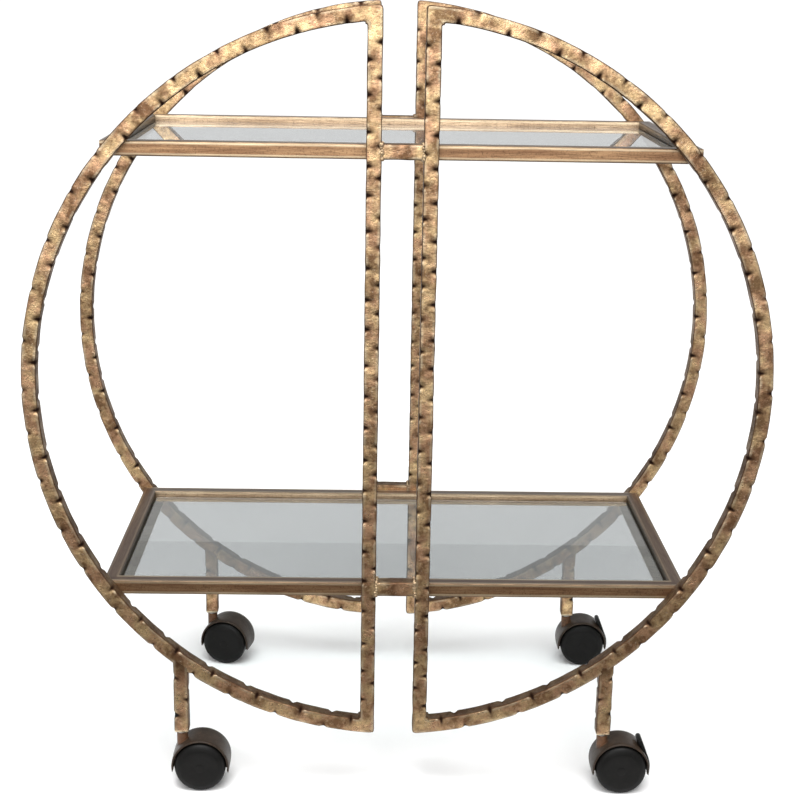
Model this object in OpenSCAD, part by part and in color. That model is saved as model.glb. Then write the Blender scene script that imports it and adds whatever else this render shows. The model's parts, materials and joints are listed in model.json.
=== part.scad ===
/* [Rings] */
// Outer radius of the round frames
ring_r = 420; // [400:5:440]
// Height of the ring centre above the floor
ring_centre_z = 490; // [480:1:500]
// Clear width between the two uprights of a ring
ring_gap = 45; // [35:1:60]
// Side of the square tube of rings, bridges and legs
frame_tube = 17; // [15:0.5:19]
// Wall thickness of all tubes
tube_wall = 1.2; // [1:0.1:1.5]
// Depth over both rings, front to back
cart_depth = 377; // [350:1:400]
// Height of the bridges above the shelf rails beside them, upper and lower
bridge_lift = [2, 7]; // [0:1:8]

/* [Shelves] */
// Height of the upper shelf rails' top face
upper_shelf_top = 762; // [740:1:780]
// Height of the lower shelf rails' top face
lower_shelf_top = 255; // [240:1:280]
// Length of the upper shelf frame
upper_shelf_len = 654; // [640:1:660]
// Length of the lower shelf frame
lower_shelf_len = 678; // [660:1:690]
// Side of the square tube of the shelf rails
rail_tube = 16.5; // [15:0.5:18]
// Thickness of the glass shelves
glass_t = 5; // [4:0.5:6]
// How far the glass lies below the rails' top face
glass_drop = 7.5; // [6:0.5:8]
// Gap between the glass edge and the rails
glass_gap = 1; // [0.5:0.25:2]
// Width and thickness of the ledge strip under the glass
ledge = [13, 1.5]; // [1:0.5:16]

/* [Legs] */
// Distance between the left and right legs, centre to centre
leg_spacing = 500; // [460:5:540]
// Height of the legs' lower ends above the floor
leg_bottom = 70; // [69.5:0.5:72]
// Depth of the plastic socket in a leg's end
socket_depth = 35; // [25:1:45]

/* [Casters] */
// Wheel diameter
wheel_d = 60; // [58:1:61]
// Width over the two wheels of a caster
caster_w = 46; // [44:1:50]
// Width of the hood, from which the wheels stand out on both sides
hood_w = 38; // [36:1:42]
// Width between the two wheels
wheel_gap = 15.2; // [14.5:0.1:17]
// Distance from the stem's axis to the axle
caster_trail = 22; // [20:1:24]
// Outer radius of the hood over the wheels
hood_r = 34.3; // [34:0.1:36]
// Wall thickness of the hood
hood_wall = 2.4; // [2:0.1:2.6]
// How far the hood's tips reach below the axle
hood_drop = 8; // [4:1:10]
// Diameter of the steel stem
stem_d = 8; // [7:0.5:9]
// Diameter of the axle
axle_d = 6; // [5:0.5:7]
// Radial clearance of running fits
run_clear = 0.05; // [0.02:0.01:0.1]
// Swivel of the back left caster about its stem
back_left_turn = -12; // [-180:1:180]

/* [Brake levers] */
// Width of the foot lever
lever_w = 21; // [16:1:24]
// Radius from the axle to the lever's outer face
lever_r = 35.8; // [35.8:0.1:38]
// Radius from the axle to the tip of the thumb tab
lever_tip_r = 42; // [40:0.5:43]
// Angle above horizontal at which the thumb tab ends
lever_tip_angle = 56; // [50:1:58]

/* [Hidden] */
$fn = 96;
axle_z = wheel_d / 2;
ring_y = (cart_depth - frame_tube) / 2;
shelf_depth = cart_depth - 2 * frame_tube;
arc_start = ring_gap / 2;
bore_inner = frame_tube - 2 * tube_wall;
wheel_w = (caster_w - wheel_gap) / 2;
web_t = wheel_gap - 2.2;
hood_inner_r = hood_r - hood_wall;
neck_r = 6.5;
collar_t = 1.9;
neck_gap = 0.3;
stem_bottom_z = 42;
stem_in_socket = 30;
strip_gap = 2;
slot_w = 5;
lever_arm_t = 4;
lever_t = 3.4;
pin_r = 1.5;
pivot_r = 26;
pivot_angle = -2;
notch_top = 46;
big = 2 * ring_r;

// Sign of a side: front and left are negative
function sign_of(side) = (side == "front" || side == "left") ? -1 : 1;
// Point on a circle
function polar(r, a) = [r * cos(a), r * sin(a)];
// Height of the top face of a shelf's rails
function shelf_top(level) = level == "upper" ? upper_shelf_top : lower_shelf_top;
// Length of a shelf's frame
function shelf_len(level) = level == "upper" ? upper_shelf_len : lower_shelf_len;
// Lift of a bridge above the rails beside it
function lift_of(level) = level == "upper" ? bridge_lift[0] : bridge_lift[1];
// Swivel angle of a caster at rest
function turn_of(fb, lr) = (fb == "back" && lr == "left") ? back_left_turn : 0;

// Square tube along Z, centred on its axis
module tube(len, side = frame_tube) {
    difference() {
        translate([-side / 2, -side / 2, 0]) cube([side, side, len]);
        translate([-side / 2 + tube_wall, -side / 2 + tube_wall, -1])
            cube([side - 2 * tube_wall, side - 2 * tube_wall, len + 2]);
    }
}

// Mitre region between an arc and its upright, in the ring's plane, right half
module mitre_2d(reach) {
    outer = [arc_start, sqrt(ring_r * ring_r - arc_start * arc_start)];
    inner_x = arc_start + frame_tube;
    inner_r = ring_r - frame_tube;
    inner = [inner_x, sqrt(inner_r * inner_r - inner_x * inner_x)];
    slope = (outer - inner) / norm(outer - inner);
    top_out = outer + reach * slope;
    top_in = inner - reach * slope;
    // the half plane on the upright's side of the mitre, closed far to the left and below
    polygon([top_out, top_in, [top_in[0], 0], [-reach, 0], [-reach, top_out[1]]]);
}

// One half circle of a ring: a curved square tube, mitred where it meets the upright
module arc(fb, lr) {
    color("darkgoldenrod")
    translate([0, sign_of(fb) * ring_y, ring_centre_z])
    mirror([lr == "left" ? 1 : 0, 0, 0])
    rotate([90, 0, 0])
    difference() {
        rotate([0, 0, -90]) rotate_extrude(angle = 180) difference() {
            translate([ring_r - frame_tube, -frame_tube / 2]) square(frame_tube);
            translate([ring_r - frame_tube + tube_wall, -frame_tube / 2 + tube_wall])
                square(frame_tube - 2 * tube_wall);
        }
        for (end = [0, 1]) mirror([0, end, 0])
            linear_extrude(2 * frame_tube, center = true) intersection() {
                mitre_2d(40);
                translate([-big, ring_r / 2]) square([2 * big, ring_r]);
            }
    }
}

// Straight upright of a ring half, mitred at both ends
module upright(fb, lr) {
    color("goldenrod")
    translate([0, sign_of(fb) * ring_y, ring_centre_z])
    mirror([lr == "left" ? 1 : 0, 0, 0])
    difference() {
        translate([arc_start + frame_tube / 2, 0, -ring_r]) tube(2 * ring_r);
        for (end = [0, 1]) mirror([0, 0, end]) rotate([90, 0, 0])
            linear_extrude(2 * frame_tube, center = true) difference() {
                translate([-big, ring_r / 2]) square([2 * big, ring_r]);
                mitre_2d(40);
            }
    }
}

// Short tube that joins the two uprights of a ring at a shelf's level
module bridge(fb, level) {
    z = shelf_top(level) + lift_of(level) - frame_tube / 2;
    color("peru")
    translate([-ring_gap / 2, sign_of(fb) * ring_y, z]) rotate([0, 90, 0]) tube(ring_gap);
}

// Leg from the ring down to the caster, coped to the ring's outer face
module leg(fb, lr) {
    color("sienna")
    difference() {
        translate([sign_of(lr) * leg_spacing / 2, sign_of(fb) * ring_y, leg_bottom])
            tube(ring_centre_z - leg_bottom - ring_r / 2);
        translate([0, sign_of(fb) * ring_y, ring_centre_z]) rotate([90, 0, 0])
            cylinder(r = ring_r, h = 2 * frame_tube, center = true);
    }
}

// Hollow rail along X with mitred ends; its outer face is at y = 0, its top at z = 0
module mitred_rail(len) {
    w = rail_tube;
    difference() {
        translate([0, 0, -w]) linear_extrude(w)
            polygon([[-len / 2, 0], [len / 2, 0], [len / 2 - w, w], [-len / 2 + w, w]]);
        translate([-len, tube_wall, -w + tube_wall])
            cube([2 * len, w - 2 * tube_wall, w - 2 * tube_wall]);
    }
}

// One of the four rails of a shelf frame
module rail(level, side) {
    len = shelf_len(level);
    along_x = side == "front" || side == "back";
    turn = side == "front" ? 0 : side == "right" ? 90 : side == "back" ? 180 : 270;
    color(along_x ? "saddlebrown" : "chocolate")
    translate([0, 0, shelf_top(level)]) rotate([0, 0, turn])
        translate([0, along_x ? -shelf_depth / 2 : -len / 2, 0])
            mitred_rail(along_x ? len : shelf_depth);
}

// Four strips welded inside a shelf frame, on which the glass lies
module shelf_ledge(level) {
    len_in = shelf_len(level) - 2 * rail_tube;
    depth_in = shelf_depth - 2 * rail_tube;
    z = shelf_top(level) - glass_drop - glass_t - ledge[1];
    color("dimgray") {
        for (s = [-1, 1])
            translate([-len_in / 2, s * (depth_in - ledge[0]) / 2 - ledge[0] / 2, z])
                cube([len_in, ledge[0], ledge[1]]);
        for (s = [-1, 1])
            translate([s * (len_in - ledge[0]) / 2 - ledge[0] / 2, -depth_in / 2 + ledge[0] + strip_gap, z])
                cube([ledge[0], depth_in - 2 * (ledge[0] + strip_gap), ledge[1]]);
    }
}

// Glass plate that lies on the ledge inside the rails
module shelf_glass(level) {
    size = [shelf_len(level) - 2 * rail_tube - 2 * glass_gap, shelf_depth - 2 * rail_tube - 2 * glass_gap];
    color("lightblue", 0.5)
    translate([-size[0] / 2, -size[1] / 2, shelf_top(level) - glass_drop - glass_t])
        cube([size[0], size[1], glass_t]);
}

// Puts a caster's piece at its leg; x points from the stem towards the axle
module at_caster(fb, lr) {
    translate([sign_of(lr) * leg_spacing / 2, sign_of(fb) * ring_y, 0])
        rotate([0, 0, turn_of(fb, lr)]) children();
}

// Puts a piece drawn round the axle, in the plane of the wheel, at the axle
module at_axle() {
    translate([caster_trail, 0, axle_z]) rotate([90, 0, 0]) children();
}

// Plastic plug in the leg's end that grips the stem
module socket(fb, lr) {
    color("black")
    translate([sign_of(lr) * leg_spacing / 2, sign_of(fb) * ring_y, leg_bottom]) difference() {
        translate([-bore_inner / 2, -bore_inner / 2, 0]) cube([bore_inner, bore_inner, socket_depth]);
        translate([0, 0, -1]) cylinder(d = stem_d, h = socket_depth + 2);
    }
}

// Steel stem with the collar that meets the leg's end
module stem(fb, lr) {
    color("silver")
    at_caster(fb, lr) {
        translate([0, 0, stem_bottom_z])
            cylinder(d = stem_d, h = leg_bottom + stem_in_socket - stem_bottom_z);
        translate([0, 0, leg_bottom - collar_t]) cylinder(r = neck_r, h = collar_t);
    }
}

// Area of the wheel's plane above the hood's tips
module above_tips_2d() {
    translate([-2 * hood_r, -hood_drop]) square([4 * hood_r, 4 * hood_r]);
}

// Hood over both wheels, with the web between them and the neck for the stem
module hood(fb, lr) {
    neck_top = leg_bottom - collar_t - neck_gap;
    color("darkslategray")
    at_caster(fb, lr) difference() {
        union() {
            at_axle() linear_extrude(hood_w, center = true) intersection() {
                difference() {
                    circle(hood_r);
                    circle(hood_inner_r);
                }
                above_tips_2d();
            }
            at_axle() linear_extrude(web_t, center = true) {
                intersection() {
                    circle(hood_r - hood_wall / 2);
                    above_tips_2d();
                }
                circle(axle_d / 2 + 6);
            }
            translate([0, 0, stem_bottom_z - 4]) cylinder(r = neck_r, h = neck_top - stem_bottom_z + 4);
        }
        translate([0, 0, stem_bottom_z - 0.5]) cylinder(d = stem_d + 2 * run_clear, h = leg_bottom);
        at_axle() cylinder(d = axle_d, h = caster_w, center = true);
        if (lr == "right") lever_room();
    }
}

// Room for the brake lever: a notch in the hood, a slot in the web and the pin's hole
module lever_room() {
    low = -30;
    at_axle() {
        linear_extrude(lever_w + 1, center = true)
            polygon([polar(hood_inner_r + 0.2, low), polar(1.5 * hood_r, low), polar(1.5 * hood_r, 10),
                polar(1.5 * hood_r, notch_top), polar(hood_inner_r - 0.9, notch_top),
                polar(hood_inner_r - 0.2, 30), polar(hood_inner_r - 0.2, 15), polar(hood_inner_r, 0)]);
        linear_extrude(slot_w, center = true)
            polygon([polar(20, low), polar(1.5 * hood_r, low), polar(1.5 * hood_r, 10),
                polar(1.5 * hood_r, notch_top), polar(20, notch_top), polar(19, 10)]);
        translate(polar(pivot_r, pivot_angle)) cylinder(r = pin_r, h = caster_w, center = true);
    }
}

// Steel axle, pressed into the hood's web
module axle(fb, lr) {
    color("gainsboro")
    at_caster(fb, lr) at_axle() cylinder(d = axle_d, h = wheel_gap + 2 * (wheel_w - 5), center = true);
}

// Half profile of a wheel: radius from the axle, distance from the inner face
module wheel_profile() {
    r = wheel_d / 2;
    w = wheel_w;
    bore_end = w - 4.5;
    dome = 1;
    tread_round = 1.2;
    corner = [for (a = [0 : 15 : 90])
        [r - tread_round + tread_round * cos(a), w - dome - tread_round + tread_round * sin(a)]];
    face = [for (i = [1 : 5]) let (u = i / 5) [(r - 3) * (1 - u), w - dome + dome * sin(90 * u)]];
    polygon(concat(
        [[0, bore_end], [axle_d / 2 + run_clear, bore_end], [axle_d / 2 + run_clear, 0],
            [8, 0], [8, 8], [23, 8], [23, 0], [r - tread_round, 0], [r, tread_round]],
        corner, [[r - 3, w - dome]], face));
}

// One wheel; side is -1 for the wheel towards -Y of the caster and 1 for the other
module wheel(fb, lr, side) {
    color("black")
    at_caster(fb, lr) translate([caster_trail, side * wheel_gap / 2, axle_z])
        rotate([-side * 90, 0, 0]) rotate_extrude() wheel_profile();
}

// Foot lever of the brake: a curved plate, a thumb tab and the arm to its pin
module brake_lever(fb, lr) {
    low = -12;
    bend = 34;
    inner = lever_r - lever_t;
    tab_inner_r = max(lever_tip_r - 5, hood_r + 0.8);
    plate = concat([for (a = [low : (bend - low) / 6 : bend + 0.01]) polar(lever_r, a)],
        [polar(lever_tip_r, lever_tip_angle - 4), polar(lever_tip_r, lever_tip_angle - 1.5),
            polar(lever_tip_r - 1.5, lever_tip_angle), polar(tab_inner_r + 1.5, lever_tip_angle),
            polar(tab_inner_r, lever_tip_angle - 2.5), polar(hood_r + 0.8, notch_top + 0.5)],
        [for (a = [notch_top - 1.5 : -(notch_top - 1.5 - low) / 7 : low - 0.01]) polar(inner, a)]);
    color("black")
    at_caster(fb, lr) at_axle() difference() {
        union() {
            linear_extrude(lever_w, center = true) polygon(plate);
            linear_extrude(lever_arm_t, center = true) {
                polygon([polar(pivot_r - 1, pivot_angle - 6), polar(inner + 1, pivot_angle - 6),
                    polar(inner + 1, 24), polar(pivot_r, 14)]);
                translate(polar(pivot_r, pivot_angle)) circle(4);
            }
        }
        translate(polar(pivot_r, pivot_angle)) cylinder(r = pin_r + run_clear, h = lever_w, center = true);
    }
}

// Steel pin of the brake lever, pressed into the web
module brake_pin(fb, lr) {
    color("silver")
    at_caster(fb, lr) at_axle() translate(polar(pivot_r, pivot_angle))
        cylinder(r = pin_r, h = web_t, center = true);
}

// Draws one named piece
module piece(fb, lr, part) {
    if (part == "arc") arc(fb, lr);
    if (part == "upright") upright(fb, lr);
    if (part == "leg") leg(fb, lr);
    if (part == "socket") socket(fb, lr);
    if (part == "stem") stem(fb, lr);
    if (part == "hood") hood(fb, lr);
    if (part == "axle") axle(fb, lr);
    if (part == "outer_wheel") wheel(fb, lr, sign_of(fb));
    if (part == "inner_wheel") wheel(fb, lr, -sign_of(fb));
    if (part == "brake_lever") brake_lever(fb, lr);
    if (part == "brake_pin") brake_pin(fb, lr);
}

piece("front", "left", "arc");  // front_left_arc
piece("front", "right", "arc");  // front_right_arc
piece("back", "left", "arc");  // back_left_arc
piece("back", "right", "arc");  // back_right_arc
piece("front", "left", "upright");  // front_left_upright
piece("front", "right", "upright");  // front_right_upright
piece("back", "left", "upright");  // back_left_upright
piece("back", "right", "upright");  // back_right_upright
bridge("front", "upper");  // front_upper_bridge
bridge("front", "lower");  // front_lower_bridge
bridge("back", "upper");  // back_upper_bridge
bridge("back", "lower");  // back_lower_bridge
piece("front", "left", "leg");  // front_left_leg
piece("front", "right", "leg");  // front_right_leg
piece("back", "left", "leg");  // back_left_leg
piece("back", "right", "leg");  // back_right_leg
rail("upper", "front");  // upper_front_rail
rail("upper", "back");  // upper_back_rail
rail("upper", "left");  // upper_left_rail
rail("upper", "right");  // upper_right_rail
rail("lower", "front");  // lower_front_rail
rail("lower", "back");  // lower_back_rail
rail("lower", "left");  // lower_left_rail
rail("lower", "right");  // lower_right_rail
shelf_ledge("upper");  // upper_ledge
shelf_ledge("lower");  // lower_ledge
shelf_glass("upper");  // upper_glass
shelf_glass("lower");  // lower_glass
piece("front", "left", "socket");  // front_left_socket
piece("front", "right", "socket");  // front_right_socket
piece("back", "left", "socket");  // back_left_socket
piece("back", "right", "socket");  // back_right_socket
piece("front", "left", "stem");  // front_left_stem
piece("front", "right", "stem");  // front_right_stem
piece("back", "left", "stem");  // back_left_stem
piece("back", "right", "stem");  // back_right_stem
piece("front", "left", "hood");  // front_left_hood
piece("front", "right", "hood");  // front_right_hood
piece("back", "left", "hood");  // back_left_hood
piece("back", "right", "hood");  // back_right_hood
piece("front", "left", "axle");  // front_left_axle
piece("front", "right", "axle");  // front_right_axle
piece("back", "left", "axle");  // back_left_axle
piece("back", "right", "axle");  // back_right_axle
piece("front", "left", "outer_wheel");  // front_left_outer_wheel
piece("front", "right", "outer_wheel");  // front_right_outer_wheel
piece("back", "left", "outer_wheel");  // back_left_outer_wheel
piece("back", "right", "outer_wheel");  // back_right_outer_wheel
piece("front", "left", "inner_wheel");  // front_left_inner_wheel
piece("front", "right", "inner_wheel");  // front_right_inner_wheel
piece("back", "left", "inner_wheel");  // back_left_inner_wheel
piece("back", "right", "inner_wheel");  // back_right_inner_wheel
piece("front", "right", "brake_lever");  // front_right_brake_lever
piece("back", "right", "brake_lever");  // back_right_brake_lever
piece("front", "right", "brake_pin");  // front_right_brake_pin
piece("back", "right", "brake_pin");  // back_right_brake_pin
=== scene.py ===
import json
import math

import bpy
import numpy as np
from mathutils import Matrix, Vector


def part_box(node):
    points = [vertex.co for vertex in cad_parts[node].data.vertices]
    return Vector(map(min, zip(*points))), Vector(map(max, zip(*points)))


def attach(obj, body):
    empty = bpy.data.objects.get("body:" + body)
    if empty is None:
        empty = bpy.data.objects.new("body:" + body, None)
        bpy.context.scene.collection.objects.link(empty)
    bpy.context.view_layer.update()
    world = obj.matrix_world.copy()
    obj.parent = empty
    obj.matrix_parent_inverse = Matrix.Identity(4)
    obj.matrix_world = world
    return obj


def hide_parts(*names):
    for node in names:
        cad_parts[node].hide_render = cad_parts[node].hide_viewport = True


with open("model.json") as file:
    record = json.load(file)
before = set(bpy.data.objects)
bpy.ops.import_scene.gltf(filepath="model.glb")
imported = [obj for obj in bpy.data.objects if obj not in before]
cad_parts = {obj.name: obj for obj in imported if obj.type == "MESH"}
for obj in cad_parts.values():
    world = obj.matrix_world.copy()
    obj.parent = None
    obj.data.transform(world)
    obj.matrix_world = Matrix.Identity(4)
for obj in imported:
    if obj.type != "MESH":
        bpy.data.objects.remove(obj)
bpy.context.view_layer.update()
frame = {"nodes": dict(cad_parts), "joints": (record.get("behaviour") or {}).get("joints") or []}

# ---------------------------------------------------------------- sizes, in metres

MM = 0.001
UPRIGHT_LOW, UPRIGHT_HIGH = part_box("front_right_upright")
ARC_LOW, ARC_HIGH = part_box("front_right_arc")
RING_R = ARC_HIGH.x
RING_Z = (ARC_LOW.z + ARC_HIGH.z) / 2
TUBE = UPRIGHT_HIGH.x - UPRIGHT_LOW.x
HALF_TUBE = TUBE / 2
UPRIGHT_X = UPRIGHT_LOW.x + HALF_TUBE
BACK_LOW, BACK_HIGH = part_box("back_right_arc")
RING_Y = (BACK_LOW.y + BACK_HIGH.y) / 2
LEG_LOW, LEG_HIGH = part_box("front_right_leg")
LEG_X = (LEG_LOW.x + LEG_HIGH.x) / 2
RAIL_LOW, RAIL_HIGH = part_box("lower_front_rail")
RAIL_TUBE = RAIL_HIGH.z - RAIL_LOW.z
WHEEL_LOW, WHEEL_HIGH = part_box("front_right_outer_wheel")
WHEEL_R = (WHEEL_HIGH.z - WHEEL_LOW.z) / 2
WHEEL_W = WHEEL_HIGH.y - WHEEL_LOW.y
AXLE_Z = WHEEL_LOW.z + WHEEL_R
TRAIL = (WHEEL_LOW.x + WHEEL_HIGH.x) / 2 - LEG_X
WHEEL_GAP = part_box("front_right_inner_wheel")[0].y - WHEEL_HIGH.y
HOOD_LOW, HOOD_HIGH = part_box("front_left_hood")
HOOD_R = (HOOD_HIGH.x - HOOD_LOW.x) / 2
HOOD_W = HOOD_HIGH.y - HOOD_LOW.y
STEM_LOW, STEM_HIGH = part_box("front_right_stem")
COLLAR_R = (STEM_HIGH.x - STEM_LOW.x) / 2
NECK_TOP = max(HOOD_HIGH.z, AXLE_Z + HOOD_R)
SIGN = {"front": -1, "left": -1, "back": 1, "right": 1}
CORNERS = ((1, 1), (-1, 1), (-1, -1), (1, -1))


# ---------------------------------------------------------------- mesh helpers

def placed(name, data):
    """New object with this data, linked into the scene."""
    thing = bpy.data.objects.new(name, data)
    bpy.context.scene.collection.objects.link(thing)
    return thing


def piece(name, points, faces, body, material, nodes=(), marks=None, crease=35):
    """One mesh object from vertex rows and arrays of equal-sided faces, riding on a CAD body.
    Faces with many corners stay flat, edges that turn by more than the crease angle stay sharp, and
    the rest shade smooth."""
    mesh = bpy.data.meshes.new(name)
    loops = np.concatenate([f.ravel() for f in faces])
    counts = np.concatenate([np.full(len(f), f.shape[1]) for f in faces])
    starts = np.concatenate([[0], np.cumsum(counts)[:-1]])
    mesh.vertices.add(len(points))
    mesh.vertices.foreach_set("co", np.asarray(points, float).ravel())
    mesh.loops.add(len(loops))
    mesh.loops.foreach_set("vertex_index", loops)
    mesh.polygons.add(len(starts))
    mesh.polygons.foreach_set("loop_start", starts)
    mesh.update(calc_edges=True)
    mesh.validate()
    mesh.set_sharp_from_angle(angle=math.radians(crease))
    mesh.polygons.foreach_set("use_smooth", counts < 5)
    for label, values in (marks or {}).items():
        layer = mesh.attributes.new(label, "FLOAT", "POINT")
        layer.data.foreach_set("value", np.asarray(values, float).ravel())
    mesh.materials.append(material)
    thing = placed(name, mesh)
    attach(thing, body)
    if nodes:
        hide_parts(*nodes)
    return thing


def skin(rows, cols, flip=False):
    """Quads of a grid of points whose columns close round. They look outward where the columns run
    counter-clockwise seen from the last row."""
    r = np.arange(rows - 1)[:, None] * cols
    c = np.arange(cols)[None, :]
    c2 = (c + 1) % cols
    quads = np.stack([r + c, r + c2, r + cols + c2, r + cols + c], -1).reshape(-1, 4)
    return quads[:, ::-1] if flip else quads


def tube_faces(rows, cols, flip=False):
    """Quads of an open tube plus one flat face over each end."""
    lower = np.arange(cols)[None, ::-1]
    upper = (rows - 1) * cols + np.arange(cols)[None, :]
    if flip:
        lower = lower[:, ::-1]
        upper = upper[:, ::-1]
    return [skin(rows, cols, flip), lower, upper]


def with_poles(rows, cols):
    """Quads between rings of points, and a fan of triangles from each of two end points that follow."""
    here = np.arange(cols)
    after = (here + 1) % cols
    count = rows * cols
    first_fan = np.stack([np.full(cols, count), after, here], -1)
    last_fan = np.stack([np.full(cols, count + 1), count - cols + here, count - cols + after], -1)
    return [skin(rows, cols), first_fan, last_fan]


def joined(shells):
    """Puts several closed shells, each (points, faces), into one set of points and faces."""
    points = []
    faces = []
    count = 0
    for shell_points, shell_faces in shells:
        points.append(shell_points)
        faces += [f + count for f in shell_faces]
        count += len(shell_points)
    return np.concatenate(points), faces


def rounded_rows(outline, outward, low, high, edge, steps):
    """Rows of a plate with rounded edges: the outline draws in by e (1 - sin t) while the height
    follows e (1 - cos t) over a quarter turn at each face. Gives the rows and every point's height."""
    bend = np.linspace(0, math.pi / 2, steps)
    inset = edge * np.concatenate([1 - np.sin(bend), 1 - np.cos(bend)])
    height = np.concatenate([low + edge * (1 - np.cos(bend)), high - edge * (1 - np.sin(bend))])
    rows = outline[None] - inset[:, None, None] * outward[None]
    return rows, np.broadcast_to(height[:, None], rows.shape[:2])


def square_profile(half, corner, side_points, corner_points):
    """Rounded square, counter-clockwise: four sides of evenly spaced points between quarter arcs.
    Gives the points, the outward direction at each, and each point's distance from the four corners."""
    flat = half - corner
    sweep = np.linspace(0, math.pi / 2, corner_points)
    points = []
    outward = []
    for quarter in range(4):
        turn = quarter * math.pi / 2
        centre = flat * np.array([math.cos(turn) - math.sin(turn), math.sin(turn) + math.cos(turn)])
        arc = np.stack([np.cos(sweep + turn), np.sin(sweep + turn)], -1)
        step = np.linspace(0, 1, side_points + 2)[1:-1, None]
        end = centre + corner * arc[-1]
        following = end + 2 * flat * np.array([-math.cos(turn), -math.sin(turn)])
        points += [centre + corner * arc, end + (following - end) * step]
        outward += [arc, np.repeat(arc[-1:], side_points, 0)]
    points = np.concatenate(points)
    corners = half * np.array(CORNERS)
    distance = np.linalg.norm(points[:, None] - corners[None], axis=2)
    return points, np.concatenate(outward), distance


# ---------------------------------------------------------------- hammered tube

PROFILE_CORNER = 1.5 * MM
TUBE_STEP = 1.3 * MM
MID_R = RING_R - HALF_TUBE
MITRE_REACH = 20 * MM
CORNER_INSIDE = 8 * MM
CORNER_OUTSIDE = 4 * MM
FACES = ((1, 0), (0, 1), (-1, 0), (0, -1))
NICK_PITCH = {"arc": 56 * MM, "upright": 37 * MM, "leg": 40 * MM}
NICK_PHASE = np.array([0.25, 0.75, 0.5, 0.0])
NICK_SCATTER = 0.1
NICK_DEPTH = 2.7 * MM
NICK_HALF_LENGTH = 4.8 * MM
NICK_REACH = 4.4 * MM
QUIET_END = 17 * MM
SOOT_ALONG = 2.2 * MM
SOOT_ASIDE = 7.6 * MM
# Painted shade: a brown smear just above each nick, partly tarnish
SHADE_SMEAR_SHIFT = 1.5 * MM
SHADE_SMEAR_ALONG = 5.0 * MM
SHADE_SMEAR_ASIDE = 11 * MM
# Painted highlight on the rim just below each nick, where the slope faces the light from above
HIGHLIGHT_SHIFT = 5.4 * MM
HIGHLIGHT_ALONG = 2.2 * MM
HIGHLIGHT_ASIDE = 2.4 * MM
# Painted shade in a dark line along each edge, and a painted highlight line beside it
DARK_EDGE = 1.9 * MM
BRIGHT_EDGE = 2.3 * MM
BRIGHT_EDGE_WIDTH = 1.1 * MM
PATCH_STEP = 9 * MM
DENT_PITCH = 15 * MM
DENT_SHIFT = 5 * MM
DENT_HEIGHT = 0.45 * MM
BEAD_ROWS = 9
BEAD_COLS = 14


def bell(value, width):
    """Bell curve: the exponential of minus the square of value over width."""
    return np.exp(-(value / width) ** 2)


def turned_aside(outward):
    """How far the skin turns away from the ring's face: 0 up to about 20 degrees, 1 from about 49."""
    return np.clip((np.abs(outward[:, 0]) - 0.35) / 0.4, 0, 1)


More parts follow.
